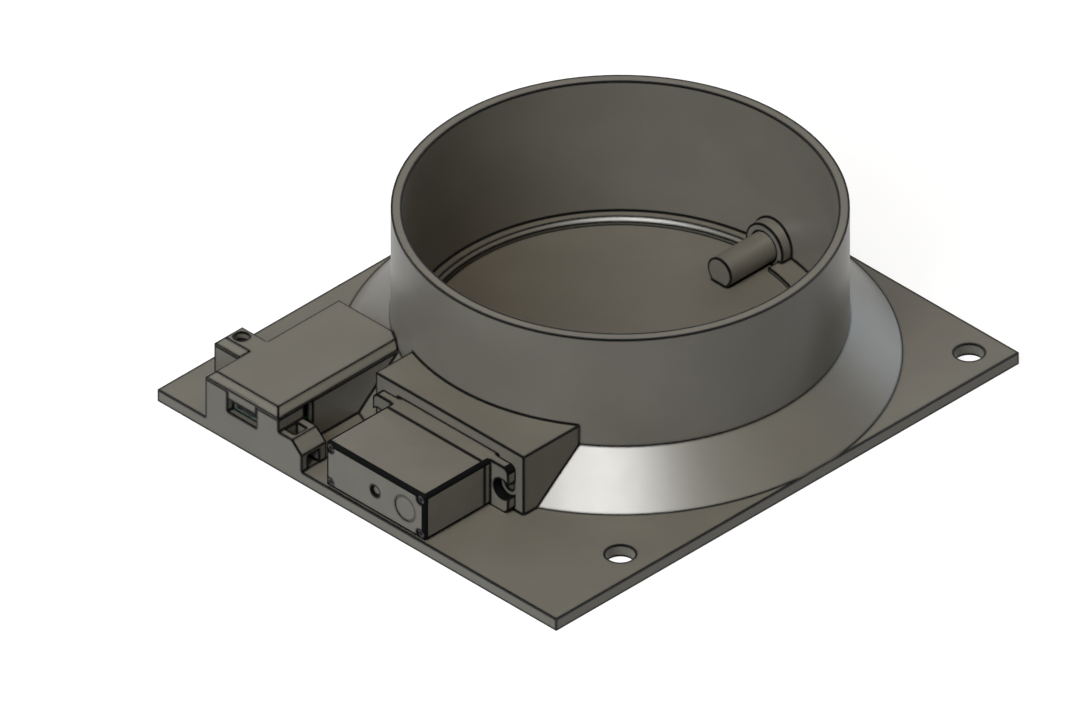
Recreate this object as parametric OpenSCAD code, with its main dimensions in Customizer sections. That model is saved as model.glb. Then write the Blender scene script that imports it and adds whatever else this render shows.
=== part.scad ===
// Motorized air damper: a printed duct flange, a butterfly flap in two half seats, and a small servo.
// All sizes are millimetres. The origin lies on the duct's axis, at the underside of the plate.
// +Z runs up the duct, the flap turns about an axis along Y, and the servo stands on the -Y side.

/* [Plate] */
// Width of the square plate that screws to a fan
plate_w = 120; // [118:0.5:126]
// Thickness of the plate
plate_t = 3; // [2.6:0.1:3.6]
// How far the plate runs out past its square, under the servo and the board box
apron_l = 19.3; // [19.2:0.1:26]
// Distance of a fan screw's centre from the plate's edges
fan_hole_in = 7.5; // [6.5:0.25:8.5]
// Diameter of a fan screw hole
fan_hole_d = 6.5; // [4.5:0.1:7]

/* [Duct collar] */
// Outside diameter of the collar, a slip fit in a 100 mm duct
collar_d = 97.8; // [97:0.1:99]
// Wall of the collar
collar_wall = 2.4; // [1.8:0.1:3]
// Height of the collar's rim above the plate's underside
collar_top = 40.8; // [34:0.2:60]
// Height of the sloped skirt above the plate
skirt_h = 10.15; // [9.5:0.05:12]
// Flare of the collar's root below the bracket's top, where the duct stops
collar_flare = 0.15; // [0.1:0.05:0.3]

/* [Flap and seats] */
// Step from the collar's bore in to the seat's bore
seat_step = 2.9; // [2.4:0.1:3.4]
// Gap between the flap's edge and the seat's bore
flap_edge_gap = 0.6; // [0.6:0.05:1]
// Thickness of the flap
flap_t = 2.9; // [2.4:0.1:3.2]
// Gap between the flap's faces and the half ledges it closes on
ledge_gap = 0.1; // [0.05:0.05:0.2]
// Width of a half ledge under or over the flap's edge
ledge_w = 3.2; // [2:0.1:5]
// Thickness of the upper half ledge
upper_ledge_t = 1; // [0.8:0.1:1.4]
// Chamfer at the mouth of the seat
seat_chamfer = 0.85; // [0.4:0.05:1.2]

/* [Pivot] */
// Diameter of the flap's pivot stub
stub_d = 7; // [6:0.1:8]
// Radial running clearance of a pivot in its bearing
pivot_play = 0.1; // [0.05:0.01:0.1]
// Outside diameter of the bearing bosses in the duct
boss_d = 11; // [10:0.1:11.6]
// Depth of the blind bearing across from the servo
bearing_l = 4.3; // [3:0.1:5]
// Length of each stub and hub in from the flap's rim
stub_in_l = 13.2; // [10:0.1:20]
// Outside diameter of the flap's drive hub
hub_d = 9.6; // [9:0.1:10.4]
// Depth of the hub's socket
socket_l = 8.4; // [6:0.1:9]
// Diameter of the drive tongue that fills the hub's socket
tongue_d = 5.8; // [5.4:0.1:6]

/* [Servo bracket] */
// Distance of the bracket's face out from the collar
bracket_reach = 8.1; // [8:0.1:10]
// Cover of the bracket over the servo's top
bracket_cover = 3.25; // [2:0.05:5]
// Bracket past the servo's flange on the board box side
bracket_near = 1.45; // [1:0.05:3]
// Bracket past the servo's flange on the free side
bracket_free = 2.35; // [1:0.05:5]
// Clearance of the servo in its pocket
pocket_play = 0.25; // [0.15:0.05:0.4]
// Pilot hole of a servo screw
pilot_d = 2.6; // [2:0.1:3]
// Depth of a servo screw's pilot hole
pilot_l = 8; // [5:0.5:8]

/* [Servo case] */
// Length of the servo's case
servo_l = 30; // [30:0.1:32]
// Thickness of the servo's case
servo_h = 11.7; // [11.6:0.1:12.4]
// Length of the servo from its flange to its rear
servo_back_l = 22; // [21:0.1:24]
// Length of the servo's nose in front of its flange
nose_l = 5.05; // [5.05:0.05:5.4]
// Distance of the output shaft from the case's near end
shaft_inset = 9.8; // [9.4:0.1:10.4]
// Thickness of the mounting flange
flange_t = 2.3; // [1.8:0.1:2.8]
// Length of a flange past the case's end
flange_out = 5.35; // [5:0.05:6]
// Distance of a flange hole's centre from the case's end
flange_hole_out = 3.5; // [3.3:0.1:3.7]
// Diameter of a flange hole
flange_hole_d = 4.8; // [4:0.1:5]
// Rounding of the case's edges
case_round = 1; // [0.6:0.1:1.2]
// Wall of the case
case_wall = 1.2; // [1:0.1:1.3]
// Length of the spline past the servo's nose
spline_l = 3.5; // [3:0.1:3.6]
// Diameter of the spline
spline_d = 4.8; // [4.4:0.1:4.8]

/* [Servo gears] */
// Module of the gear teeth
gear_module = 0.3; // [0.29:0.005:0.3]
// Teeth of a large gear wheel
wheel_teeth = 28; // [26:2:28]
// Teeth of a pinion
pinion_teeth = 10; // [10:2:12]
// Width of a gear wheel
gear_w = 0.95; // [0.8:0.05:0.95]
// Gap between neighbouring gears on one axle
gear_play = 0.1; // [0.08:0.01:0.15]
// Backlash between two teeth
backlash = 0.07; // [0.05:0.01:0.1]
// Diameter of the steel axle that carries the idler gears
axle_d = 1; // [0.8:0.05:1.1]
// Diameter of the servo's motor
motor_d = 9; // [8:0.1:9]

/* [Board box] */
// Distance between the servo bracket and the board box
box_gap = 7.1; // [7:0.1:12]
// Wall of the board box
box_wall = 1.9; // [1.5:0.1:2.4]
// Length of the board box from the plate's front edge
box_l = 40.2; // [39:0.2:41]
// Height of the board box above the plate
box_h = 10; // [9.4:0.1:14]
// Thickness of the lid
lid_t = 2; // [1.8:0.1:3]
// Chamfer of the lid's upper edge
lid_chamfer = 1.67; // [0.4:0.01:1.7]
// Width of the screw ear beside the box
ear_out = 7.5; // [7:0.1:9]
// Length of the screw ear along the box
ear_l = 8.4; // [7.6:0.1:10]
// Distance of the ear from the plate's front edge
ear_front = 10.2; // [4:0.1:22]
// Diameter of the screw hole in the lid
lid_hole_d = 3.3; // [2.6:0.1:3.6]
// Pilot hole of the lid screw
lid_pilot_d = 2.5; // [2:0.1:2.8]
// Depth of the lid screw's pilot hole
lid_pilot_l = 8; // [5:0.5:9]
// Height of the cable clamp block above the plate
clamp_h = 7; // [6.8:0.1:8]
// Length of the cable clamp block
clamp_l = 7.55; // [7.2:0.05:9]
// Width of the cable clamp block
clamp_w = 7; // [6.5:0.1:7]
// Width of the cable tie's tunnel
tie_w = 3.45; // [2.6:0.05:4]

/* [Controller board] */
// Width of the board
board_w = 17.8; // [17:0.1:18]
// Length of the board
board_l = 22.5; // [22:0.1:24]
// Thickness of the board
board_t = 1; // [0.8:0.1:1.2]
// Height of the board's underside above the plate
board_lift = 3.7; // [3:0.1:4]
// Gap between the board and the box on each side
board_play = 0.15; // [0.1:0.05:0.3]
// Width of the socket's shell
usb_w = 8.9; // [8.6:0.1:9.2]
// Height of the socket's shell
usb_h = 3.2; // [3:0.05:3.3]
// Length of the socket's shell
usb_l = 7.3; // [6.5:0.1:8]
// Travel of a push button's key
key_travel = 0.2; // [0.15:0.05:0.25]

/* [Hidden] */

$fn = 96;
cut = 1;
bite = 0.5;
seat_play = 0.05;
face_gap = 0.3;

printed = [0.42, 0.4, 0.37];
moulded = [0.4, 0.39, 0.37];
steel = [0.62, 0.62, 0.64];
brass = [0.78, 0.62, 0.32];
acetal = [0.86, 0.85, 0.8];
black = [0.08, 0.08, 0.09];
circuit = [0.06, 0.2, 0.12];
copper = [0.72, 0.42, 0.22];

plate_front = plate_w / 2 + apron_l;
collar_r = collar_d / 2;
root_r = collar_r + collar_flare;
collar_in_r = collar_r - collar_wall;
skirt_r = plate_w / 2;
bore_r = collar_in_r - seat_step;
flap_r = bore_r - flap_edge_gap;
ledge_r = bore_r - ledge_w;

servo_z0 = plate_t + seat_play;
axis_z = servo_z0 + servo_h / 2;
servo_z1 = servo_z0 + servo_h;
flap_z0 = plate_t + ledge_gap;
flap_z1 = flap_z0 + flap_t;
upper_ledge_z = flap_z1 + ledge_gap;
seat_top = upper_ledge_z + upper_ledge_t;
stub_r = stub_d / 2;
boss_r = boss_d / 2;
bearing_r = stub_r + pivot_play;
// each half ledge stops short of the pivot, clear of the stub and of the flap that stands open
ledge_end_gap = 0.4;
lower_ledge_x = axis_z - flap_z0 + ledge_end_gap;
upper_ledge_x = stub_r + ledge_end_gap + face_gap;
hub_ledge_x = hub_d / 2 + face_gap;
boss_y = flap_r + face_gap;
bearing_end = boss_y + bearing_l;
end_gap = 0.2;
stub_end = bearing_end - end_gap;
stub_start = flap_r - stub_in_l;
hub_in = 0.1;
hub_end = flap_r - hub_in;

face_y = -(collar_r + bracket_reach);
flange_y1 = face_y - seat_play;
flange_y0 = flange_y1 - flange_t;
servo_y0 = flange_y1 - servo_back_l;
rear_seam_back = 1.7;
seam_y = flange_y1 - flange_t - rear_seam_back;
cover_seam_out = 0.85;
cover_y0 = flange_y1 + cover_seam_out;
cover_y1 = flange_y1 + nose_l;
pocket_y = cover_y1 + face_gap;
servo_x0 = -shaft_inset;
servo_x1 = servo_x0 + servo_l;
servo_mid_x = (servo_x0 + servo_x1) / 2;
flange_x0 = servo_x0 - flange_out;
flange_x1 = servo_x1 + flange_out;
flange_holes = [servo_x0 - flange_hole_out, servo_x1 + flange_hole_out];
bracket_x0 = flange_x0 - bracket_near;
bracket_x1 = flange_x1 + bracket_free;
bracket_top = servo_z1 + bracket_cover;
case_mid_z = axis_z;
case_screw_in = 1.45;
case_screw_r = 0.55;
case_head_r = 0.95;
case_head_h = 1;
case_head_sink = 0.3;
screw_fit = 0.08;
post_r = 1.35;
rear_wall = 1.3;
cover_wall = 1.2;
spline_teeth = 21;
spline_depth = 0.22;
spline_fit = 0.05;
spline_r = spline_d / 2;

gear_layers = 4;
cover_in_y = cover_y1 - cover_wall;
gear_step = gear_w + gear_play;
floor_y1 = cover_in_y - gear_layers * gear_step - end_gap;
floor_t = 1.4;
floor_y0 = floor_y1 - floor_t;
pressure_angle = 20;
flank_steps = 3;
wheel_pitch_r = gear_module * wheel_teeth / 2;
pinion_pitch_r = gear_module * pinion_teeth / 2;
gear_centres = wheel_pitch_r + pinion_pitch_r;
idler_x = gear_centres;
motor_x = 2 * gear_centres;
wheel_addendum = 0.65;
pinion_addendum = 0.8;
wheel_tip_r = wheel_pitch_r + wheel_addendum * gear_module;
pinion_tip_r = pinion_pitch_r + pinion_addendum * gear_module;
tip_clearance = 0.06;
axle_r = axle_d / 2;
gear_play_r = 0.06;
pin_r = 0.6;
shaft_r = 0.5;
press_gap = 0.01;

motor_r = motor_d / 2;
can_wall = 0.4;
can_y1 = floor_y0 - seat_play;
can_l = 15.9;
can_y0 = can_y1 - can_l;
end_cap_t = 1.2;
cap_floor = 0.2;
magnet_t = 0.8;
air_gap = 0.25;
pot_r = 4.3;
pot_l = 5.4;
pot_floor = 1;
screw_hold = 0.02;

box_x1 = bracket_x0 - box_gap;
box_in_w = board_w + 2 * board_play;
box_x0 = box_x1 - box_in_w - 2 * box_wall;
box_mid_x = (box_x0 + box_x1) / 2;
box_y0 = -plate_front;
box_y1 = box_y0 + box_l;
box_top = plate_t + box_h;
lid_fit = 0.2;
lid_lip = 1.8;
bay_wall = 1.1;
bay_r = collar_r + bay_wall;
ear_x0 = box_x0 - ear_out;
ear_y0 = box_y0 + ear_front;
ear_y1 = ear_y0 + ear_l;
ear_hole_in = 0.25;
ear_hole = [(ear_x0 + box_x0) / 2 + ear_hole_in, (ear_y0 + ear_y1) / 2];
board_z0 = plate_t + board_lift;
board_z1 = board_z0 + board_t;
board_y0 = box_y0 + box_wall + board_play;
board_y1 = board_y0 + board_l;
part_gap = 0.03;
part_z = board_z1 + part_gap;
usb_open_gap = 0.2;
usb_open_top = board_z1 + usb_h + usb_open_gap;
usb_open_w = usb_w - seat_play;
clamp_y1 = box_y0 + clamp_l;
slot_back = 0.2;
slot_y0 = clamp_y1 + slot_back;
slot_w = 2.7;
slot_sill = 4;
clamp_top = plate_t + clamp_h;
clamp_corner = 2.8;
tie_y0 = box_y0 + box_wall;
tie_y1 = tie_y0 + tie_w;
tie_t = 2.95;

// a disc or ring that stands up around the duct's axis
module upright_ring(outer, inner, z0, z1)
    translate([0, 0, z0])
        difference() {
            cylinder(h = z1 - z0, r = outer);
            if (inner > 0)
                translate([0, 0, -cut]) cylinder(h = z1 - z0 + 2 * cut, r = inner);
        }

// lays a shape that was drawn flat along the Y axis, from y0 on, around the point x, z
module along_y(x, z, y0) translate([x, y0, z]) rotate([-90, 0, 0]) children();

module rod(x, z, y0, y1, r) along_y(x, z, y0) cylinder(h = y1 - y0, r = r);

module block(x0, x1, y0, y1, z0, z1) translate([x0, y0, z0]) cube([x1 - x0, y1 - y0, z1 - z0]);

// a rectangle with round corners, centred, made of squares and true circles
module round_rect(w, h, r) {
    square([w - 2 * r, h], center = true);
    square([w, h - 2 * r], center = true);
    for (sx = [-1, 1], sy = [-1, 1])
        translate([sx * (w / 2 - r), sy * (h / 2 - r)]) circle(r = r);
}

// the printed housing

module skirt_and_collar()
    rotate_extrude()
        polygon([
            [0, plate_t], [skirt_r, plate_t], [root_r, plate_t + skirt_h],
            [collar_r, bracket_top], [collar_r, collar_top], [0, collar_top]
        ]);

// the seat's bore, its chamfered mouth and the collar's bore above it
module duct_bore()
    rotate_extrude()
        polygon([
            [0, -cut], [bore_r, -cut], [bore_r, seat_top - seat_chamfer],
            [bore_r + seat_chamfer, seat_top], [collar_in_r, seat_top],
            [collar_in_r, collar_top + cut], [0, collar_top + cut]
        ]);

// the flap closes down on one half ledge and up against the other, so one side is under and one over
module half_ledges() {
    intersection() {
        upright_ring(bore_r + bite, ledge_r, 0, plate_t);
        block(-collar_r, -lower_ledge_x, -collar_r, collar_r, -cut, plate_t + cut);
    }
    difference() {
        intersection() {
            upright_ring(bore_r + seat_chamfer + bite, ledge_r, upper_ledge_z, seat_top);
            block(upper_ledge_x, collar_r, -collar_r, collar_r, 0, seat_top + cut);
        }
        // the drive hub is thicker than the stub, so the ledge ends sooner beside it
        block(0, hub_ledge_x, -collar_r, 0, 0, seat_top + cut);
    }
}

module bearing_bosses() {
    rod(0, axis_z, boss_y, collar_in_r + bite, boss_r);
    rod(0, axis_z, -collar_in_r - bite, -boss_y, boss_r);
}

module box_walls() block(box_x0, box_x1, box_y0, box_y1, 0, box_top);

// the hollow of the board box, which stops short of the collar's round wall
module box_hollow()
    difference() {
        block(box_x0 + box_wall, box_x1 - box_wall, box_y0 + box_wall, box_y1 - box_wall,
            plate_t, box_top + cut);
        upright_ring(bay_r, 0, 0, box_top + 2 * cut);
    }

// two rails under the board's long edges, each with a stop behind the board
module board_rails() {
    rail_w = 1.2;
    stop_l = 1.5;
    stop_h = 1;
    for (side = [0, 1]) {
        x0 = side == 0 ? box_x0 + box_wall - bite : box_x1 - box_wall - rail_w;
        block(x0, x0 + rail_w + bite, box_y0 + bite, board_y1, 1, board_z0 - part_gap);
        block(x0, x0 + rail_w + bite, board_y1 + board_play, board_y1 + board_play + stop_l,
            1, board_z1 + stop_h);
    }
}

// a wedge beside the box: the lead lies on its top, and a cable tie runs down and out through it
module cable_clamp() {
    slope = 2.95;
    translate([0, clamp_y1, 0]) rotate([90, 0, 0]) linear_extrude(clamp_l)
        polygon([
            [box_x1 - bite, 1], [box_x1 + clamp_w, 1],
            [box_x1 + clamp_w, clamp_top - clamp_corner],
            [box_x1 + clamp_w - slope, clamp_top], [box_x1 - bite, clamp_top]
        ]);
}

module tie_tunnel() {
    wall = 0.3;
    floor_gap = 0.2;
    exit_h = 3.2;
    block(box_x1 + wall, box_x1 + wall + tie_t, tie_y0, tie_y1, plate_t + floor_gap, clamp_top + cut);
    block(box_x1 + wall, box_x1 + clamp_w + cut, tie_y0, tie_y1,
        plate_t + floor_gap, plate_t + floor_gap + exit_h);
}

module base_holes() {
    for (sx = [-1, 1], sy = [-1, 1])
        translate([sx * (plate_w / 2 - fan_hole_in), sy * (plate_w / 2 - fan_hole_in), -cut])
            cylinder(h = plate_t + 2 * cut, d = fan_hole_d);
    rod(0, axis_z, boss_y - cut, bearing_end, bearing_r);
    rod(0, axis_z, pocket_y - cut, -boss_y + cut, bearing_r);
    for (x = flange_holes) rod(x, axis_z, face_y - cut, face_y + pilot_l, pilot_d / 2);
    translate([ear_hole[0], ear_hole[1], box_top - lid_pilot_l])
        cylinder(h = lid_pilot_l + cut, d = lid_pilot_d);
}

module base() color(printed) {
    difference() {
        union() {
            difference() {
                union() {
                    block(-plate_w / 2, plate_w / 2, -plate_front, plate_w / 2, 0, plate_t);
                    skirt_and_collar();
                    block(bracket_x0, bracket_x1, face_y, -ledge_r, 1, bracket_top);
                    box_walls();
                    block(ear_x0, box_x0 + bite, ear_y0, ear_y1, 1, box_top);
                    cable_clamp();
                }
                duct_bore();
                box_hollow();
            }
            half_ledges();
            bearing_bosses();
            board_rails();
        }
        block(servo_x0 - pocket_play, servo_x1 + pocket_play, face_y - cut, pocket_y,
            plate_t, servo_z1 + pocket_play);
        // the skirt's toe is cut away where the servo and its flange stand
        block(flange_x0 - pocket_play, flange_x1 + pocket_play, -skirt_r - cut, face_y,
            plate_t, servo_z1);
        block(box_mid_x - usb_open_w / 2, box_mid_x + usb_open_w / 2, box_y0 - cut,
            box_y0 + box_wall + cut, board_z1, box_top + cut);
        // the wires come in beside the clamp, under the lid's lip and over the board
        block(box_x1 - box_wall - cut, box_x1 + cut, slot_y0, slot_y0 + slot_w,
            plate_t + slot_sill, box_top + cut);
        tie_tunnel();
        base_holes();
    }
}

// the board box's lid

// a slab whose upper edge is chamfered all round, as two crossed prisms
module chamfered_slab(x0, x1, y0, y1, z0, z1, c) {
    intersection() {
        translate([0, y1, 0]) rotate([90, 0, 0]) linear_extrude(y1 - y0)
            polygon([[x0, z0], [x1, z0], [x1, z1 - c], [x1 - c, z1], [x0 + c, z1], [x0, z1 - c]]);
        translate([x0, 0, 0]) rotate([90, 0, 90]) linear_extrude(x1 - x0)
            polygon([[y0, z0], [y1, z0], [y1, z1 - c], [y1 - c, z1], [y0 + c, z1], [y0, z1 - c]]);
    }
}

module lid() color(printed) {
    lid_z0 = box_top + part_gap;
    lid_z1 = lid_z0 + lid_t;
    tab_fit = 0.15;
    lip_w = 1.2;
    hold_w = 1.6;
    difference() {
        union() {
            chamfered_slab(box_x0, box_x1, box_y0, box_y1, lid_z0, lid_z1, lid_chamfer);
            chamfered_slab(ear_x0, box_x0 + ear_out, ear_y0, ear_y1, lid_z0, lid_z1, lid_chamfer);
            // the tab that closes the top of the socket's opening
            block(box_mid_x - usb_open_w / 2 + tab_fit, box_mid_x + usb_open_w / 2 - tab_fit,
                box_y0, box_y0 + box_wall, usb_open_top, lid_z0 + bite);
            // the lip that centres the lid in the box
            difference() {
                block(box_x0 + box_wall + lid_fit, box_x1 - box_wall - lid_fit,
                    box_y0 + box_wall + lid_fit, box_y1 - box_wall - lid_fit,
                    box_top - lid_lip, lid_z0 + bite);
                block(box_x0 + box_wall + lid_fit + lip_w, box_x1 - box_wall - lid_fit - lip_w,
                    box_y0 + box_wall + lid_fit + lip_w, box_y1 - box_wall - lid_fit - lip_w,
                    box_top - lid_lip - cut, lid_z0);
                upright_ring(bay_r + lid_fit, 0, 0, lid_z0);
                block(box_mid_x - usb_w / 2 - lid_fit, box_mid_x + usb_w / 2 + lid_fit,
                    box_y0, box_y0 + box_wall + usb_l + cut, 0, lid_z0);
            }
            // two posts that hold the board down at its rear corners
            for (side = [-1, 1])
                translate([box_mid_x + side * (board_w / 2 - hold_w), board_y1 - hold_w, 0])
                    block(-hold_w / 2, hold_w / 2, 0, hold_w, part_z, lid_z0 + bite);
        }
        upright_ring(root_r + lid_fit, 0, 0, lid_z1 + cut);
        translate([ear_hole[0], ear_hole[1], lid_z0 - cut]) cylinder(h = lid_t + 2 * cut, d = lid_hole_d);
    }
}

// the flap and what turns it

// a round bar with one flat
module d_profile(r, flat)
    difference() {
        circle(r = r);
        translate([-r - cut, flat]) square([2 * (r + cut), r + cut]);
    }

tongue_r = tongue_d / 2;
tongue_flat = 2.03;
tongue_fit = 0.08;

module flap() color(printed) {
    upright_ring(flap_r, 0, flap_z0, flap_z1);
    rod(0, axis_z, stub_start, stub_end, stub_r);
    difference() {
        rod(0, axis_z, -hub_end, -stub_start, hub_d / 2);
        along_y(0, axis_z, -hub_end - cut) linear_extrude(socket_l + cut)
            d_profile(tongue_r + tongue_fit, tongue_flat + tongue_fit);
    }
}

// shares of one tooth's step that its root and its tip take up, to each side
tooth_root_share = 0.36;
tooth_tip_share = 0.14;

function ring_tooth(teeth, root, tip, i) =
    let (step = 360 / teeth, a = i * step, wide = tooth_root_share, thin = tooth_tip_share)
    [
        for (p = [[root, -wide], [tip, -thin], [tip, thin], [root, wide]])
            [p[0] * cos(a + p[1] * step), p[0] * sin(a + p[1] * step)]
    ];

// the fine triangular teeth of a servo spline
module spline_profile(tip)
    polygon([for (i = [0:spline_teeth - 1]) each ring_tooth(spline_teeth, tip - spline_depth, tip, i)]);

screw_web_y = cover_y1 + spline_l + end_gap;
screw_web_t = 2.2;
screw_head_y = screw_web_y + screw_web_t;
coupler_y0 = cover_y1 + end_gap;
journal_y1 = -boss_y + end_gap;
horn_hole_play = 0.1;
recess_w = 0.5;
recess_span = 2.2;
recess_depth = 0.8;
horn_screw_r = 1;
horn_head_r = 1.8;
horn_head_h = 1.4;
horn_screw_l = 7;

// one end is splined onto the servo, the middle is the bearing journal, and the tongue drives the flap
module drive_coupler() color(printed)
    difference() {
        union() {
            rod(0, axis_z, coupler_y0, journal_y1, stub_r);
            along_y(0, axis_z, journal_y1 - bite)
                linear_extrude(-hub_end + socket_l - end_gap - journal_y1 + bite)
                    d_profile(tongue_r, tongue_flat);
        }
        along_y(0, axis_z, coupler_y0 - cut) linear_extrude(screw_web_y - coupler_y0 + cut)
            spline_profile(spline_r + spline_fit);
        rod(0, axis_z, screw_web_y - cut, screw_head_y + cut, horn_screw_r + horn_hole_play);
        rod(0, axis_z, screw_head_y, 0, horn_head_r + horn_hole_play);
    }

module coupler_screw() color(steel)
    difference() {
        union() {
            rod(0, axis_z, screw_head_y + seat_play, screw_head_y + seat_play + horn_head_h, horn_head_r);
            rod(0, axis_z, screw_head_y + seat_play - horn_screw_l, screw_head_y + cut, horn_screw_r);
        }
        cross_recess(0, axis_z, screw_head_y + seat_play + horn_head_h,
            recess_span, recess_w, recess_depth);
    }

// a cross for a screwdriver, sunk back from the face at y
module cross_recess(x, z, y, span, width, depth)
    for (turn = [0, 90])
        translate([x, y - depth, z]) rotate([0, turn, 0])
            translate([-span / 2, 0, -width / 2]) cube([span, depth + cut, width]);

// the servo's case

// the outline of the case, extruded from y0 to y1
module case_outline(y0, y1)
    along_y(servo_mid_x, case_mid_z, y0) linear_extrude(y1 - y0)
        round_rect(servo_l, servo_h, case_round);

// where the four long screws run
module at_case_screws()
    for (x = [servo_x0 + case_screw_in, servo_x1 - case_screw_in],
         z = [servo_z0 + case_screw_in, servo_z1 - case_screw_in])
        translate([x, 0, z]) children();

module case_hollow(y0, y1)
    difference() {
        block(servo_x0 + case_wall, servo_x1 - case_wall, y0, y1,
            servo_z0 + case_wall, servo_z1 - case_wall);
        at_case_screws() rod(0, 0, y0 - cut, y1 + cut, post_r);
    }

grommet_r = 1.6;
grommet_in = 4.6;
grommet_y = servo_y0 + grommet_in;
// how deep the idler's axle and the case screws sit in the floor and in the cover's wall
axle_in_floor = 1;
axle_in_cover = 0.7;
screw_in_cover = 0.4;

module servo_rear_case() color(moulded) {
    port_d = 6;
    port_inset = 6;
    gate_d = 2.7;
    gate_depth = 0.6;
    port_depth = 0.15;
    rear_y = servo_y0;
    difference() {
        intersection() {
            case_outline(rear_y, seam_y);
            // the rear edges are rounded too, seen from the side and from above
            translate([servo_x0 - cut, 0, 0]) rotate([90, 0, 90]) linear_extrude(servo_l + 2 * cut)
                translate([rear_y + servo_back_l / 2, case_mid_z])
                    round_rect(servo_back_l, servo_h, case_round);
            translate([servo_mid_x, rear_y + servo_back_l / 2, servo_z0 - cut])
                linear_extrude(servo_h + 2 * cut) round_rect(servo_l, servo_back_l, case_round);
        }
        case_hollow(rear_y + rear_wall, seam_y + cut);
        at_case_screws() {
            rod(0, 0, rear_y - cut, seam_y + cut, case_screw_r + screw_fit);
            rod(0, 0, rear_y - cut, rear_y + case_head_h + case_head_sink, case_head_r + screw_fit);
        }
        rod(servo_mid_x, case_mid_z, rear_y - cut, rear_y + gate_depth, gate_d / 2);
        rod(servo_x1 - port_inset, case_mid_z, rear_y - cut, rear_y + port_depth, port_d / 2);
        translate([servo_x0 - cut, grommet_y, case_mid_z]) rotate([0, 90, 0])
            cylinder(h = case_wall + 2 * cut, r = grommet_r);
    }
}

// the middle of the case holds the flange and the floor between motor and gears
module servo_mid_case() color(moulded) {
    flange_round = 1.5;
    motor_nose_r = 1.6;
    difference() {
        union() {
            case_outline(seam_y + part_gap, cover_y0);
            along_y(servo_mid_x, case_mid_z, flange_y0) linear_extrude(flange_t)
                round_rect(servo_l + 2 * flange_out, servo_h, flange_round);
        }
        case_hollow(seam_y - cut, floor_y0);
        case_hollow(floor_y1, cover_y0 + cut);
        at_case_screws() rod(0, 0, seam_y - cut, cover_y0 + cut, case_screw_r + screw_fit);
        for (x = flange_holes) rod(x, case_mid_z, flange_y0 - cut, flange_y1 + cut, flange_hole_d / 2);
        rod(0, axis_z, floor_y0 - cut, floor_y1 + cut, pin_r + gear_play_r);
        rod(idler_x, axis_z, floor_y1 - axle_in_floor, floor_y1 + cut, axle_r + press_gap);
        rod(motor_x, axis_z, floor_y0 - cut, floor_y1 + cut, motor_nose_r);
    }
}

journal_step = 0.1;
bushing_wall = 0.7;
journal_r = spline_r + journal_step;
bushing_r = journal_r + bushing_wall;

module servo_gear_cover() color(moulded)
    difference() {
        case_outline(cover_y0 + part_gap, cover_y1);
        case_hollow(cover_y0 - cut, cover_in_y);
        at_case_screws() rod(0, 0, cover_y0 - cut, cover_in_y + screw_in_cover, case_screw_r + screw_fit);
        rod(0, axis_z, cover_in_y - cut, cover_y1 + cut, bushing_r);
        rod(idler_x, axis_z, cover_in_y - cut, cover_in_y + axle_in_cover, axle_r + press_gap);
    }

module servo_case_screws() color(steel) {
    head_y = servo_y0 + case_head_sink;
    case_recess_span = 1.2;
    case_recess_w = 0.3;
    case_recess_depth = 0.5;
    at_case_screws()
        difference() {
            union() {
                rod(0, 0, head_y, head_y + case_head_h, case_head_r);
                rod(0, 0, head_y + bite, cover_in_y + screw_in_cover - hub_in, case_screw_r);
            }
            translate([0, 2 * head_y, 0]) mirror([0, 1, 0])
                cross_recess(0, 0, head_y, case_recess_span, case_recess_w, case_recess_depth);
        }
}

// the rubber grommet where the servo's lead comes out
module servo_lead_grommet() color(black) {
    rim_r = 2.2;
    rim_t = 0.7;
    lead_r = 0.9;
    translate([servo_x0, grommet_y, case_mid_z]) rotate([0, 90, 0])
        difference() {
            union() {
                translate([0, 0, -rim_t]) cylinder(h = rim_t - press_gap, r = rim_r);
                translate([0, 0, -rim_t]) cylinder(h = rim_t + case_wall, r = grommet_r - press_gap);
            }
            translate([0, 0, -rim_t - cut]) cylinder(h = rim_t + case_wall + 2 * cut, r = lead_r);
        }
}

module output_bushing() color(brass)
    difference() {
        rod(0, axis_z, cover_in_y, cover_y1, bushing_r - press_gap);
        rod(0, axis_z, cover_in_y - cut, cover_y1 + cut, journal_r + gear_play_r);
    }

// the servo's gears: four meshes of one wheel and one pinion, on two axes

function involute(a) = tan(a) * 180 / PI - a;

// half the angle that a tooth takes up at radius r
function tooth_half(teeth, r) =
    let (
        pitch_r = gear_module * teeth / 2,
        base_r = pitch_r * cos(pressure_angle),
        at_pitch = (PI * gear_module / 2 - backlash / 2) / (2 * pitch_r) * 180 / PI
    )
    at_pitch + involute(pressure_angle) - involute(acos(min(1, base_r / max(r, base_r))));

// the outline of a gear: up one flank and down the other, tooth by tooth
function gear_points(teeth, root, tip, turn) = [
    for (i = [0:teeth - 1], side = [-1, 1], s = [0:flank_steps])
        let (
            k = side < 0 ? s : flank_steps - s,
            r = root + (tip - root) * k / flank_steps,
            a = turn + 360 * i / teeth + side * tooth_half(teeth, r)
        )
        [r * cos(a), r * sin(a)]
];

function layer_y(i) = floor_y1 + gear_play + i * gear_step;

// a wheel turned by half a tooth has a gap where the pinion beside it has a tooth
module wheel(x, layer)
    along_y(x, axis_z, layer_y(layer)) linear_extrude(gear_w)
        polygon(gear_points(wheel_teeth, gear_centres - pinion_tip_r - tip_clearance,
            wheel_tip_r, 180 / wheel_teeth));

module pinion(x, layer, length)
    along_y(x, axis_z, layer_y(layer)) linear_extrude(length)
        polygon(gear_points(pinion_teeth, gear_centres - wheel_tip_r - tip_clearance,
            pinion_tip_r, 0));

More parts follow.
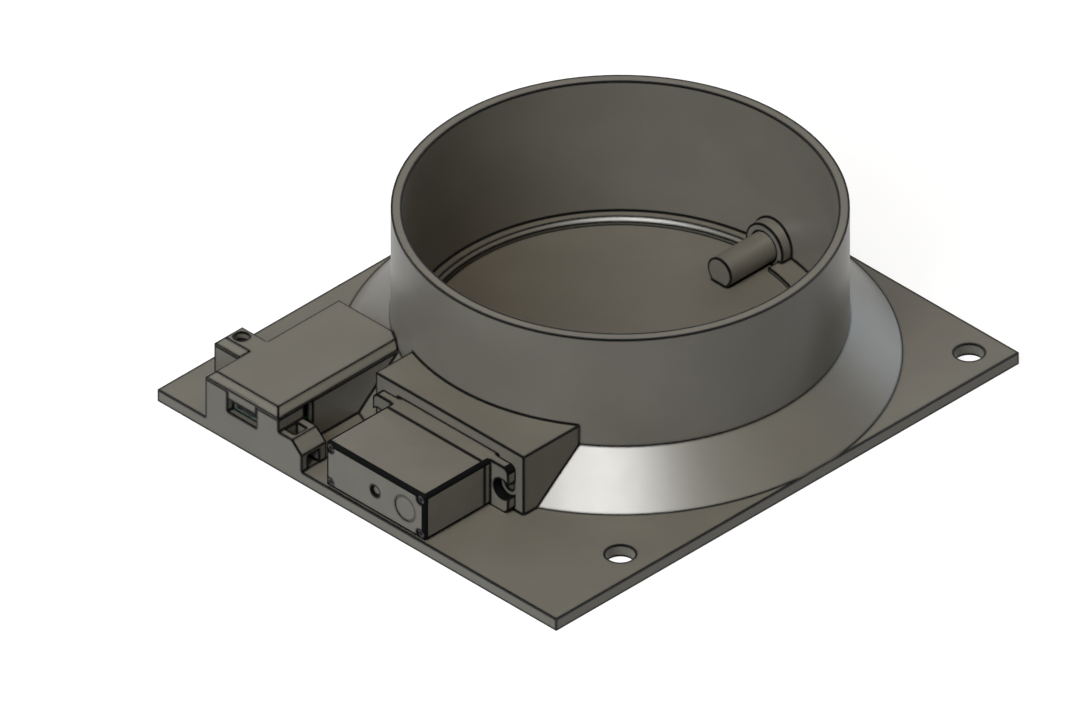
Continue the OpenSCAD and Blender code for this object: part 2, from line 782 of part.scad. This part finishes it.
// a wheel with the next stage's pinion moulded on it, turning freely on a pin
module compound_gear(x, layer, bore)
    difference() {
        union() {
            wheel(x, layer);
            pinion(x, layer, gear_step + gear_w);
        }
        rod(x, axis_z, floor_y0, cover_y1, bore);
    }

module first_gear() color(acetal) compound_gear(idler_x, 0, axle_r + gear_play_r);

module second_gear() color(acetal) compound_gear(0, 1, pin_r + gear_play_r);

module third_gear() color(brass) compound_gear(idler_x, 2, axle_r + gear_play_r);

module idler_axle() color(steel)
    rod(idler_x, axis_z, floor_y1 - axle_in_floor + hub_in, cover_in_y + axle_in_cover - hub_in, axle_r);

// the last wheel, the spline that leaves the case and the pin that turns the potentiometer
module output_gear_shaft() color(brass)
    difference() {
        union() {
            wheel(0, 3);
            rod(0, axis_z, layer_y(3) + gear_w / 2, cover_y1 + seat_play, journal_r);
            along_y(0, axis_z, cover_y1 - bite) linear_extrude(spline_l + bite) spline_profile(spline_r);
            rod(0, axis_z, floor_y0 - pot_l + pot_floor + ledge_end_gap, layer_y(3) + bite, pin_r);
        }
        rod(0, axis_z, cover_in_y, cover_y1 + spline_l + cut, horn_screw_r + screw_hold);
    }

module motor_pinion() color(brass)
    difference() {
        pinion(motor_x, 0, gear_w);
        rod(motor_x, axis_z, floor_y0, cover_in_y, shaft_r + press_gap);
    }

// the servo's motor and electronics

module motor_can() color(steel) {
    nose_r = 1.5;
    difference() {
        union() {
            rod(motor_x, axis_z, can_y0, can_y1, motor_r);
            rod(motor_x, axis_z, can_y1 - bite, can_y1 + 1, nose_r);
        }
        rod(motor_x, axis_z, can_y0 - cut, can_y1 - can_wall, motor_r - can_wall);
        rod(motor_x, axis_z, can_y0, can_y1 + 2 * cut, shaft_r + gear_play_r);
    }
}

magnet_out_r = motor_r - can_wall - screw_hold;
magnet_in_r = magnet_out_r - magnet_t;

// two arc magnets on opposite sides of the can
module motor_magnets() color(black) {
    magnet_l = 9;
    gap_half = 1.6;
    magnet_in = 2;
    magnet_y = can_y1 - can_wall - magnet_in;
    difference() {
        rod(motor_x, axis_z, magnet_y - magnet_l, magnet_y, magnet_out_r);
        rod(motor_x, axis_z, magnet_y - magnet_l - cut, magnet_y + cut, magnet_in_r);
        block(motor_x - gap_half, motor_x + gap_half, magnet_y - magnet_l - cut, magnet_y + cut,
            0, 2 * axis_z);
    }
}

// three wound poles, the commutator and the shaft that carries the pinion
module motor_armature() color(copper) {
    core_r = magnet_in_r - air_gap;
    core_l = 8;
    core_in = 2.5;
    core_y = can_y1 - can_wall - core_in;
    slot_half = 0.5;
    hub_r = 1.2;
    commutator_l = 2;
    difference() {
        rod(motor_x, axis_z, core_y - core_l, core_y, core_r);
        for (turn = [0:120:240])
            translate([motor_x, 0, axis_z]) rotate([0, turn, 0])
                block(-slot_half, slot_half, core_y - core_l - cut, core_y + cut, hub_r, core_r + cut);
    }
    rod(motor_x, axis_z, core_y - core_l - commutator_l, core_y - core_l + bite, hub_r);
    rod(motor_x, axis_z, can_y0 - end_cap_t + cap_floor + hub_in, layer_y(0) + gear_w + seat_play, shaft_r);
}

// the cap that closes the can and carries the brushes
module motor_end_cap() color(black) {
    tab_w = 1.6;
    tab_t = 0.4;
    tab_l = 0.5;
    tab_x = 2.6;
    cap_spigot = 1;
    difference() {
        union() {
            rod(motor_x, axis_z, can_y0 - end_cap_t, can_y0 - part_gap, motor_r - hub_in);
            rod(motor_x, axis_z, can_y0 - bite, can_y0 + cap_spigot, motor_r - can_wall - seat_play);
            for (side = [-1, 1])
                block(motor_x + side * tab_x - tab_t / 2, motor_x + side * tab_x + tab_t / 2,
                    can_y0 - end_cap_t - tab_l, can_y0, axis_z - tab_w / 2, axis_z + tab_w / 2);
        }
        rod(motor_x, axis_z, can_y0 - end_cap_t + cap_floor, can_y0 + 2 * cut, shaft_r + gear_play_r);
    }
}

module servo_potentiometer() color(black) {
    shell_y = floor_y0 - seat_play;
    difference() {
        rod(0, axis_z, shell_y - pot_l, shell_y, pot_r);
        rod(0, axis_z, shell_y - pot_l + pot_floor, shell_y + cut, pin_r + gear_play_r);
    }
}

// the driver board lies across the rear of the case, notched for the screw posts
module servo_board() color(circuit) {
    board_gap = 0.1;
    thick = 0.8;
    board_y = servo_y0 + rear_wall + board_gap;
    difference() {
        block(servo_x0 + case_wall + board_gap, servo_x1 - case_wall - board_gap, board_y, board_y + thick,
            servo_z0 + case_wall + board_gap, servo_z1 - case_wall - board_gap);
        at_case_screws() rod(0, 0, board_y - cut, board_y + thick + cut, post_r + board_gap);
    }
}

// the controller board in its box

pad_count = 8;
pad_pitch = 2.54;
pad_d = 1;
pad_in = 1.2;

module controller_board() color(circuit)
    difference() {
        block(box_mid_x - board_w / 2, box_mid_x + board_w / 2, board_y0, board_y1, board_z0, board_z1);
        for (side = [-1, 1], i = [0:pad_count - 1])
            translate([box_mid_x + side * (board_w / 2 - pad_in),
                (board_y0 + board_y1) / 2 + (i - (pad_count - 1) / 2) * pad_pitch, board_z0 - cut])
                cylinder(h = board_t + 2 * cut, d = pad_d);
    }

// a flat oval shell with the contact tongue inside
module usb_socket() color(steel) {
    shell = 0.3;
    round_r = 1.2;
    tongue_w = 6.4;
    tongue_t = 0.7;
    back_t = 2;
    tongue_in = 1;
    mouth_l = usb_l - back_t;
    mid_z = part_z + usb_h / 2;
    difference() {
        along_y(box_mid_x, mid_z, board_y0) linear_extrude(usb_l) round_rect(usb_w, usb_h, round_r);
        along_y(box_mid_x, mid_z, board_y0 - cut) linear_extrude(mouth_l + cut)
            round_rect(usb_w - 2 * shell, usb_h - 2 * shell, round_r - shell);
    }
    block(box_mid_x - tongue_w / 2, box_mid_x + tongue_w / 2, board_y0 + tongue_in, board_y0 + mouth_l + bite,
        mid_z - tongue_t / 2, mid_z + tongue_t / 2);
}

// a chip that sits flat on the board, placed from the board's middle line and its front edge
module chip(dx, dy, w, l, h)
    block(box_mid_x + dx - w / 2, box_mid_x + dx + w / 2, board_y0 + dy, board_y0 + dy + l,
        part_z, part_z + h);

// each chip is placed behind the socket: how far back it starts, and how far off the middle line
mcu_w = 5;
mcu_back = 2.9;
mcu_h = 0.85;
regulator_off = 3.4;
regulator_back = 9.3;
regulator_w = 1.6;
regulator_l = 2.9;
regulator_h = 1.1;
leg_l = 0.7;
leg_w = 0.4;
leg_h = 0.3;
leg_pitch = 0.95;
crystal_w = 2.5;
crystal_l = 3.2;
crystal_h = 0.7;
crystal_back = 9.1;
antenna_w = 5.2;
antenna_l = 1.6;
antenna_h = 1;
antenna_edge = 0.7;

module microcontroller() color(black) chip(0, usb_l + mcu_back, mcu_w, mcu_w, mcu_h);

module voltage_regulator() color(black) {
    leg_mid = usb_l + regulator_back + (regulator_l - leg_w) / 2;
    chip(-regulator_off, usb_l + regulator_back, regulator_w, regulator_l, regulator_h);
    for (i = [-1, 0, 1])
        chip(-regulator_off - (regulator_w + leg_l) / 2 + seat_play, leg_mid + i * leg_pitch,
            leg_l, leg_w, leg_h);
}

module chip_antenna() color(acetal)
    chip(0, board_l - antenna_l - antenna_edge, antenna_w, antenna_l, antenna_h);

module board_crystal() color(steel)
    chip(regulator_off, usb_l + crystal_back, crystal_w, crystal_l, crystal_h);

button_back = 3.3;
button_dx = 4.9;
button_w = 3;
button_l = 3.6;
button_h = 1.5;
key_r = 0.8;
key_out = 0.5;
key_fit = 0.05;
key_floor = 0.4;

module at_button(side)
    translate([box_mid_x + side * button_dx, board_y0 + usb_l + button_back + button_l / 2, part_z])
        children();

module button_housings() color(steel)
    for (side = [-1, 1])
        at_button(side)
            difference() {
                block(-button_w / 2, button_w / 2, -button_l / 2, button_l / 2, 0, button_h);
                translate([0, 0, key_floor]) cylinder(h = button_h + cut, r = key_r + key_fit);
            }

// a key rests clear of its housing's floor by its travel and a little more
module button_key(side)
    at_button(side)
        translate([0, 0, key_floor + key_travel + key_fit])
            cylinder(h = button_h + key_out - key_floor - key_travel - key_fit, r = key_r);

module reset_key() color(black) button_key(-1);

module boot_key() color(black) button_key(1);

base();
lid();
flap();
drive_coupler();
coupler_screw();
servo_rear_case();
servo_mid_case();
servo_gear_cover();
servo_case_screws();
servo_lead_grommet();
output_bushing();
output_gear_shaft();
idler_axle();
third_gear();
second_gear();
first_gear();
motor_pinion();
motor_armature();
motor_can();
motor_magnets();
motor_end_cap();
servo_potentiometer();
servo_board();
controller_board();
usb_socket();
microcontroller();
voltage_regulator();
chip_antenna();
board_crystal();
button_housings();
reset_key();
boot_key();
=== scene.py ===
import math

import bmesh
import bpy
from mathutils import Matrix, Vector


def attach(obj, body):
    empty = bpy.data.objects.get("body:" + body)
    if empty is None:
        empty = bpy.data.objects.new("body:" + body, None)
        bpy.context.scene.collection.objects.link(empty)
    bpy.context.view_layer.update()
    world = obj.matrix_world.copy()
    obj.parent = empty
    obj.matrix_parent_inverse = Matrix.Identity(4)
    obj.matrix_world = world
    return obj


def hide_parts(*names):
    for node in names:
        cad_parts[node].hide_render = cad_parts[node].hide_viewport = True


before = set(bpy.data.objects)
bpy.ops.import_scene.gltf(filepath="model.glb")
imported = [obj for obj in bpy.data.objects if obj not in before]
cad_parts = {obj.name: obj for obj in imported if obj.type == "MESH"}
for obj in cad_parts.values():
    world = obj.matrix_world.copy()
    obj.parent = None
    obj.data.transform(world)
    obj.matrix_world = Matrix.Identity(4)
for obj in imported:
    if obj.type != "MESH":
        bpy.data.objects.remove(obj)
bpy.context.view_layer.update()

# The camera: it looks along an isometric line, with no perspective, at the middle of the photographed view.
# The width and the middle of the view put the plate's corners where the photograph has them.
view_width = 0.23096
view_middle = Vector((-0.00245, -0.02097, 0.01))
towards_camera = Vector((1, -1, 1)).normalized()
camera_distance = 0.9
nearest_seen, farthest_seen = 0.05, 5


def put_in_scene(name, data):
    """An object of that name and data in the scene."""
    made = bpy.data.objects.new(name, data)
    bpy.context.scene.collection.objects.link(made)
    return made


def aim_at_middle(thing, direction, distance):
    """Puts a camera or lamp at a distance from the view's middle, in one direction, and turns it to look back."""
    thing.location = view_middle + direction * distance
    thing.rotation_mode = "QUATERNION"
    thing.rotation_quaternion = (-direction).to_track_quat("-Z", "Y")


camera_data = bpy.data.cameras.new("camera")
camera_data.type = "ORTHO"
camera_data.ortho_scale = view_width
camera_data.clip_start = nearest_seen
camera_data.clip_end = farthest_seen
camera = put_in_scene("camera", camera_data)
aim_at_middle(camera, towards_camera, camera_distance)
bpy.context.scene.camera = camera

# The housing: plate, collar, skirt, servo bracket and board box in one piece of satin warm grey plastic,
# printed plate down, so its layers lie level. Its edges stay square, and along each a thin dark line without
# gloss
# is painted: painted shade on every edge, corner and seam.
warm_grey = (0.114, 0.102, 0.082)
plastic_gloss = 0.34
noise_low, noise_high = 0.3, 0.7

# Painted shade: the near-black of the dark line painted along every edge, and of the servo's roundings.
painted_shade_colour = (0.003, 0.003, 0.003)
line_reach = 0.001
line_samples = 12
line_full, line_start = 0.988, 0.996

printed_roughness = (0.37, 0.39)
printed_cloud, printed_cloud_detail, printed_spread = 0.012, 4, 0.06
printed_gloss_patch = 0.004
printed_grain, printed_grain_strength, printed_grain_height = 0.0005, 0.12, 0.00003
layer_height = 0.0002
layer_wobble, layer_strength, layer_depth = 0.4, 0.05, 0.00002
band_at_scale_one = 0.314

same_point = 2e-6
same_plane = math.radians(0.3)
face_turn = math.radians(5)
curve_turn = math.radians(28)
face_triangles = 4
face_width = 0.002
rounding_width = 0.0006
square_on = 0.9995


def make_node(tree, kind, **inputs):
    """A shader node of one kind with some of its sockets set or linked."""
    made = tree.nodes.new(kind)
    for name, value in inputs.items():
        socket = made.inputs[name.replace("_", " ")]
        if isinstance(value, bpy.types.NodeSocket):
            tree.links.new(value, socket)
        else:
            socket.default_value = value
    return made


def new_material(name):
    """A material whose node tree holds one Principled shader."""
    made = bpy.data.materials.new(name)
    made.use_nodes = True
    return made, made.node_tree, made.node_tree.nodes["Principled BSDF"]


def object_point(tree):
    """The surface's place on the piece, in metres."""
    return tree.nodes.new("ShaderNodeTexCoord").outputs["Object"]


def grain(tree, point, size, detail=2.0):
    """Cloudy noise from 0 to 1 whose blotches are about size metres wide."""
    made = make_node(tree, "ShaderNodeTexNoise", Vector=point, Scale=1 / size, Detail=detail)
    return made.outputs["Fac"]


def between(tree, share, low, high):
    """A number that runs from low to high as share runs over the middle of a noise."""
    made = make_node(tree, "ShaderNodeMapRange", Value=share,
                     From_Min=noise_low, From_Max=noise_high, To_Min=low, To_Max=high)
    return made.outputs["Result"]


def shade_range(tree, share, colour, spread):
    """A colour that gets darker and lighter by spread as share changes."""
    ramp = tree.nodes.new("ShaderNodeValToRGB")
    ramp.color_ramp.elements[0].position = noise_low
    ramp.color_ramp.elements[1].position = noise_high
    for element, factor in zip(ramp.color_ramp.elements, (1 - spread, 1 + spread)):
        element.color = (*(channel * factor for channel in colour), 1)
    tree.links.new(share, ramp.inputs["Fac"])
    return ramp.outputs["Color"]


def bumped(tree, height, strength, depth, under=None):
    """The normal of a surface that height raises by up to depth metres, on top of the normal under it."""
    made = make_node(tree, "ShaderNodeBump", Height=height, Strength=strength, Distance=depth)
    if under is not None:
        tree.links.new(under, made.inputs["Normal"])
    return made.outputs["Normal"]


def paint_edge_shade_line(tree, shader, colour):
    """Gives the shader the colour, with a thin dark line painted along every edge and corner, with no gloss on
    it:
    painted shade. A normal averaged over line_reach metres leans away from the surface's own there. The line
    follows the lean's cosine: it starts at line_start, which is 5 degrees, and is full at line_full, which is 9."""
    rounded = make_node(tree, "ShaderNodeBevel", Radius=line_reach)
    rounded.samples = line_samples
    lean = tree.nodes.new("ShaderNodeVectorMath")
    lean.operation = "DOT_PRODUCT"
    tree.links.new(rounded.outputs["Normal"], lean.inputs[0])
    tree.links.new(tree.nodes.new("ShaderNodeNewGeometry").outputs["Normal"], lean.inputs[1])
    flat = make_node(tree, "ShaderNodeMapRange", Value=lean.outputs["Value"],
                     From_Min=line_full, From_Max=line_start)
    mixed = tree.nodes.new("ShaderNodeMix")
    mixed.data_type = "RGBA"
    mixed.inputs["A"].default_value = (*painted_shade_colour, 1)
    tree.links.new(flat.outputs["Result"], mixed.inputs["Factor"])
    tree.links.new(colour, mixed.inputs["B"])
    tree.links.new(mixed.outputs["Result"], shader.inputs["Base Color"])
    # The painted line has no reflection either: its specular tint goes to black, which is painted shade.
    tree.links.new(flat.outputs["Result"], shader.inputs["Specular Tint"])


def printed_plastic(name, colour):
    """Satin printed plastic: clouded colour and gloss, level layers as a fine wave in height, and a fine
    grain. A wave texture of scale s has a band every band_at_scale_one / s metres."""
    made, tree, shader = new_material(name)
    point = object_point(tree)
    cloud = grain(tree, point, printed_cloud, printed_cloud_detail)
    paint_edge_shade_line(tree, shader, shade_range(tree, cloud, colour, printed_spread))
    gloss_patch = grain(tree, point, printed_gloss_patch)
    tree.links.new(between(tree, gloss_patch, *printed_roughness), shader.inputs["Roughness"])
    shader.inputs["Specular IOR Level"].default_value = plastic_gloss
    layers = make_node(tree, "ShaderNodeTexWave", Vector=point,
                       Scale=band_at_scale_one / layer_height, Distortion=layer_wobble)
    layers.wave_type = "BANDS"
    layers.bands_direction = "Z"
    layered = bumped(tree, layers.outputs["Fac"], layer_strength, layer_depth)
    fine = bumped(tree, grain(tree, point, printed_grain), printed_grain_strength, printed_grain_height, layered)
    tree.links.new(fine, shader.inputs["Normal"])
    return made


def patches(solid):
    """The groups of triangles that lie in one plane: each triangle's group, and whether each group is a flat
    face. A group is as wide as twice its area over its border's length. It is part of a rounding if it lies
    aslant and is narrower than rounding_width. Any other group is a flat face if it has face_triangles or
    more, or is wider than face_width. What is left belongs to a curve."""
    patch_of = [-1] * len(solid.faces)
    is_flat, is_rounding = [], []
    for seed in solid.faces:
        if patch_of[seed.index] >= 0:
            continue
        patch, waiting = len(is_flat), [seed]
        patch_of[seed.index] = patch
        area, border, count = 0.0, 0.0, 0
        while waiting:
            face = waiting.pop()
            area += face.calc_area()
            count += 1
            for edge in face.edges:
                if edge.calc_face_angle(math.pi) > same_plane:
                    border += edge.calc_length()
                    continue
                for other in edge.link_faces:
                    if patch_of[other.index] < 0:
                        patch_of[other.index] = patch
                        waiting.append(other)
        width = 2 * area / border
        aslant = max(abs(part) for part in seed.normal) < square_on
        is_rounding.append(aslant and width < rounding_width)
        is_flat.append((count >= face_triangles or width > face_width) and not is_rounding[-1])
    return patch_of, is_flat, is_rounding


def smooth_copy(node, name, body, material, rounding_material=None):
    """A merged copy of a CAD node, smooth over its curves and sharp at its edges: an edge between two curves
    or two flat faces is sharp from curve_turn on, and one between a curve and a flat face from face_turn on.
    Roundings get rounding_material."""
    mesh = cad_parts[node].data.copy()
    mesh.name = name
    solid = bmesh.new()
    solid.from_mesh(mesh)
    bmesh.ops.remove_doubles(solid, verts=solid.verts, dist=same_point)
    solid.faces.ensure_lookup_table()
    patch_of, is_flat, is_rounding = patches(solid)
    for edge in solid.edges:
        kinds = {is_flat[patch_of[face.index]] for face in edge.link_faces}
        edge.smooth = edge.calc_face_angle(math.pi) < (curve_turn if len(kinds) == 1 else face_turn)
    for face in solid.faces:
        face.smooth = True
        face.material_index = int(rounding_material is not None and is_rounding[patch_of[face.index]])
    mesh.materials.clear()
    solid.to_mesh(mesh)
    solid.free()
    mesh.materials.append(material)
    if rounding_material is not None:
        mesh.materials.append(rounding_material)
    piece = put_in_scene(name, mesh)
    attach(piece, body)
    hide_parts(node)


printed = printed_plastic("printed_plastic", warm_grey)
smooth_copy("base", "housing_shell", "housing", printed)

# The lid of the board box: a flat printed cover of the same plastic, chamfered all round.
# It drops into the box on a lip and is held by one screw in its ear.
smooth_copy("lid", "board_box_lid", "housing", printed)

# The flap: a printed disc below its shaft's line, with a stub on one side and a drive hub on the other.
# It is the same plastic, and it turns in the two bosses of the housing's bore.
smooth_copy("flap", "damper_flap", "flap_and_shaft", printed)

# The drive coupler: a small printed plug of the same plastic that sits on the servo's spline and
# turns the flap by its hub.


def finish_nodes(material, *names):
    """Gives CAD nodes that stay as they are their material."""
    for name in names:
        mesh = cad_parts[name].data
        mesh.materials.clear()
        mesh.materials.append(material)


finish_nodes(printed, "drive_coupler")

# The servo's case: three moulded shells of the same warm grey, satin on their faces, with a painted dark edge
# line, and small roundings between them painted near-black without gloss; both are painted shade. Four long
# screws in the corners hold the shells together.
shell_roughness, shell_bump = (0.42, 0.5), 0.15
rounding_roughness, rounding_bump, rounding_gloss = (0.6, 0.7), 0.1, 0.02
moulded_cloud, moulded_spread, moulded_gloss_patch = 0.006, 0.05, 0.002
moulded_grain, moulded_grain_height = 0.0003, 0.00003


def moulded_plastic(name, colour, roughness, bump, gloss=plastic_gloss, painted_edge_shade=False):
    """Moulded plastic: a fine even texture from the mould, and almost no change of colour."""
    made, tree, shader = new_material(name)
    point = object_point(tree)
    clouded = shade_range(tree, grain(tree, point, moulded_cloud), colour, moulded_spread)
    # Painted shade: the dark line without gloss along edges and corners.
    if painted_edge_shade:
        paint_edge_shade_line(tree, shader, clouded)
    else:
        tree.links.new(clouded, shader.inputs["Base Color"])
    gloss_patch = grain(tree, point, moulded_gloss_patch)
    tree.links.new(between(tree, gloss_patch, *roughness), shader.inputs["Roughness"])
    shader.inputs["Specular IOR Level"].default_value = gloss
    fine = bumped(tree, grain(tree, point, moulded_grain), bump, moulded_grain_height)
    tree.links.new(fine, shader.inputs["Normal"])
    return made


shell_plastic = moulded_plastic("servo_plastic", warm_grey, shell_roughness, shell_bump, painted_edge_shade=True)
# The roundings get the painted near-black, with almost no gloss: painted shade, not the plastic's own colour.
shell_rounding_painted_shade = moulded_plastic("servo_rounding_painted_shade", painted_shade_colour, rounding_roughness, rounding_bump, rounding_gloss)
for shell in ("servo_rear_case", "servo_mid_case", "servo_gear_cover"):
    smooth_copy(shell, shell + "_shell", "housing", shell_plastic, shell_rounding_painted_shade)

# The metal pieces of the servo and the board. Of turned or pressed steel: screws, axle, motor can, socket,
# crystal and button housings, with the four case screws blackened. Of brass: the output gear with its
# shaft, the bushing, the third gear and the motor's pinion. The motor's winding is copper.
metal_cloud, metal_spread, metal_gloss_patch = 0.003, 0.07, 0.0008
metal_grain, metal_grain_strength, metal_grain_height = 0.0002, 0.1, 0.00002


def bare_metal(name, colour, roughness):
    """Bare metal: clouded gloss and fine scratches from handling."""
    made, tree, shader = new_material(name)
    point = object_point(tree)
    shader.inputs["Metallic"].default_value = 1.0
    clouded = shade_range(tree, grain(tree, point, metal_cloud), colour, metal_spread)
    tree.links.new(clouded, shader.inputs["Base Color"])
    gloss_patch = grain(tree, point, metal_gloss_patch)
    tree.links.new(between(tree, gloss_patch, *roughness), shader.inputs["Roughness"])
    fine = bumped(tree, grain(tree, point, metal_grain), metal_grain_strength, metal_grain_height)
    tree.links.new(fine, shader.inputs["Normal"])
    return made


steel = bare_metal("steel", (0.5, 0.5, 0.5), (0.25, 0.4))
blackened_steel = bare_metal("blackened_steel", (0.05, 0.048, 0.046), (0.35, 0.5))
brass = bare_metal("brass", (0.72, 0.53, 0.25), (0.22, 0.35))
copper = bare_metal("copper", (0.72, 0.36, 0.2), (0.3, 0.45))
finish_nodes(blackened_steel, "servo_case_screws")
finish_nodes(steel, "coupler_screw", "idler_axle", "motor_can", "usb_socket",
             "board_crystal", "button_housings")
finish_nodes(brass, "output_bushing", "output_gear_shaft", "third_gear", "motor_pinion")
finish_nodes(copper, "motor_armature")

# The small moulded pieces: white acetal gears, black plastic chips, keys and motor cap, sintered magnets,
# the rubber grommet of the lead, the ceramic antenna, and the two green circuit boards.
acetal = moulded_plastic("acetal", (0.75, 0.73, 0.66), (0.35, 0.45), 0.08)
black_plastic = moulded_plastic("black_plastic", (0.02, 0.02, 0.021), (0.4, 0.55), 0.15)
magnet = moulded_plastic("magnet", (0.05, 0.05, 0.055), (0.45, 0.6), 0.2)
rubber = moulded_plastic("rubber", (0.018, 0.018, 0.018), (0.6, 0.75), 0.2)
ceramic = moulded_plastic("ceramic", (0.8, 0.79, 0.75), (0.3, 0.4), 0.05)
circuit_board = moulded_plastic("circuit_board", (0.02, 0.09, 0.045), (0.25, 0.35), 0.1)
finish_nodes(acetal, "first_gear", "second_gear")
finish_nodes(black_plastic, "motor_end_cap", "servo_potentiometer", "microcontroller", "voltage_regulator",
             "reset_key", "boot_key")
finish_nodes(magnet, "motor_magnets")
finish_nodes(rubber, "servo_lead_grommet")
finish_nodes(ceramic, "chip_antenna")
finish_nodes(circuit_board, "servo_board", "controller_board")

# The floor: a plain white floor just under the plate that keeps the object's shadow. It shows bright to
# the camera and in reflections, and stays dim for the light that bounces off it.
floor_half = 3.0
floor_gap = 0.0002
floor_bounce = (0.12, 0.12, 0.12)
floor_seen = (0.3, 0.3, 0.3)
floor_glow = (0.8, 0.8, 0.8)

floor_mesh = bpy.data.meshes.new("floor")
floor_corners = [(x * floor_half, y * floor_half, -floor_gap) for x, y in ((-1, -1), (1, -1), (1, 1), (-1, 1))]
floor_mesh.from_pydata(floor_corners, [], [(0, 1, 2, 3)])
floor = put_in_scene("floor", floor_mesh)


def larger(tree, one, other):
    """The larger of two numbers."""
    made = tree.nodes.new("ShaderNodeMath")
    made.operation = "MAXIMUM"
    tree.links.new(one, made.inputs[0])
    tree.links.new(other, made.inputs[1])
    return made.outputs[0]


def seen_directly(tree):
    """1 where the camera, a mirror or a glass looks at the surface, and 0 for light that bounces."""
    path = tree.nodes.new("ShaderNodeLightPath").outputs
    return larger(tree, path["Is Camera Ray"], larger(tree, path["Is Glossy Ray"], path["Is Transmission Ray"]))


floor_paint = bpy.data.materials.new("floor_paint")
floor_paint.use_nodes = True
tree = floor_paint.node_tree
tree.nodes.clear()
seen = seen_directly(tree)
tone = tree.nodes.new("ShaderNodeMix")
tone.data_type = "RGBA"
tone.inputs["A"].default_value = (*floor_bounce, 1)
tone.inputs["B"].default_value = (*floor_seen, 1)
tree.links.new(seen, tone.inputs["Factor"])
matt = make_node(tree, "ShaderNodeBsdfDiffuse", Color=tone.outputs["Result"])
glow = make_node(tree, "ShaderNodeEmission", Color=(*floor_glow, 1), Strength=seen)
both = tree.nodes.new("ShaderNodeAddShader")
tree.links.new(matt.outputs[0], both.inputs[0])
tree.links.new(glow.outputs[0], both.inputs[1])
make_node(tree, "ShaderNodeOutputMaterial", Surface=both.outputs[0])
floor_mesh.materials.append(floor_paint)

# The light: two warm soft lamps overhead, a wider cool one on the servo's side and a weak one behind. A card
# that only gloss shows lights up the skirt, and a pale surround fills the rest.
surround_light, surround_seen = 0.22, 1.0
lamp_distance = 1.5
warm_white = (1.06, 0.98, 0.8)
cool_white = (0.87, 1.0, 1.12)

world = bpy.data.worlds.new("surround")
bpy.context.scene.world = world
world.use_nodes = True
tree = world.node_tree
tree.nodes.clear()
level = make_node(tree, "ShaderNodeMapRange", Value=seen_directly(tree),
                  To_Min=surround_light, To_Max=surround_seen)
sky = make_node(tree, "ShaderNodeBackground", Color=(1, 1, 1, 1), Strength=level.outputs["Result"])
make_node(tree, "ShaderNodeOutputWorld", Surface=sky.outputs[0])


def lamp(name, azimuth, elevation, width, height, level, colour):
    """A soft lamp at an azimuth and elevation in degrees, width by height metres, that shines at the object's
    middle. Its power is the level times the square of pi and of the distance, so the level is what arrives."""
    turn, rise = math.radians(azimuth), math.radians(elevation)
    direction = Vector((math.cos(turn) * math.cos(rise), math.sin(turn) * math.cos(rise), math.sin(rise)))
    data = bpy.data.lights.new(name, "AREA")
    data.shape = "ELLIPSE"
    data.size = width
    data.size_y = height
    data.energy = level * math.pi * math.pi * lamp_distance**2
    data.color = colour
    made = put_in_scene(name, data)
    aim_at_middle(made, direction, lamp_distance)
    return made


lamp("top_lamp", -60, 80, 0.7, 0.7, 0.24, warm_white)
lamp("high_lamp", -66, 54, 0.6, 0.6, 0.22, warm_white)
lamp("side_lamp", -80, 33, 0.9, 0.9, 0.88, cool_white)
lamp("back_lamp", 95, 12, 0.9, 0.9, 0.25, cool_white)
gloss_card = lamp("gloss_card", -54, 60, 0.9, 0.6, 2.8, (1, 1, 1))
gloss_card.visible_diffuse = False

bpy.context.scene.view_settings.view_transform = "Standard"
